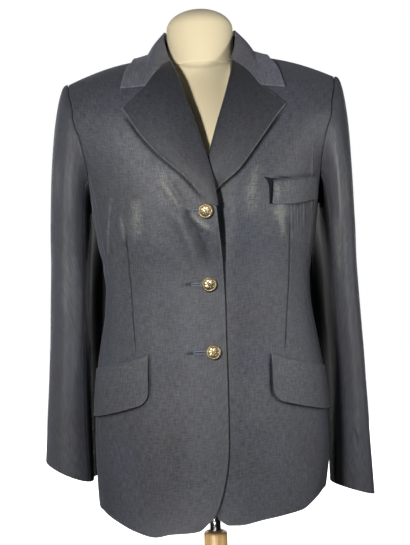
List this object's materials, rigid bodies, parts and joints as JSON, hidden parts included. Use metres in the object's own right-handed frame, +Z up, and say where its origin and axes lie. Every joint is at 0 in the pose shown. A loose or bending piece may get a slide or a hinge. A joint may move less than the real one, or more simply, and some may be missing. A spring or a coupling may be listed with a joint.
{
  "type": "blazer on a limbless dress form",
  "caption": "Single-breasted tailored blazer with notched lapels, flap pockets and metal buttons, worn by a limbless dress form on a wooden stand.",
  "frame": {"origin": "on the floor under the middle of the stand's base", "axes": "+Z up; the wearer faces -Y, so the wearer's right is at -X"},
  "size_m": [0.5178, 0.33, 1.046],
  "materials": {
    "cloth": "dark navy-grey satin-faced twill",
    "button": "aged gilt relief",
    "form": "cream stretched jersey over foam",
    "rod": "polished",
    "wood": "turned, satin varnish"
  },
  "bodies": {
    "root": {"front_right": "cloth", "front_left": "cloth", "side_right": "cloth", "side_left": "cloth", "back_right": "cloth", "back_left": "cloth", "sleeve_top_right": "cloth", "sleeve_top_left": "cloth", "sleeve_under_right": "cloth", "sleeve_under_left": "cloth", "lapel_right": "cloth", "lapel_left": "cloth", "collar": "cloth", "hip_flap_right": "cloth", "hip_flap_left": "cloth", "chest_flap": "cloth", "button_1": "button", "button_2": "button", "button_3": "button", "dress_form": "form", "stand_rod": "rod", "stand_post": "wood", "stand_base": "wood"}
  },
  "joints": []
}
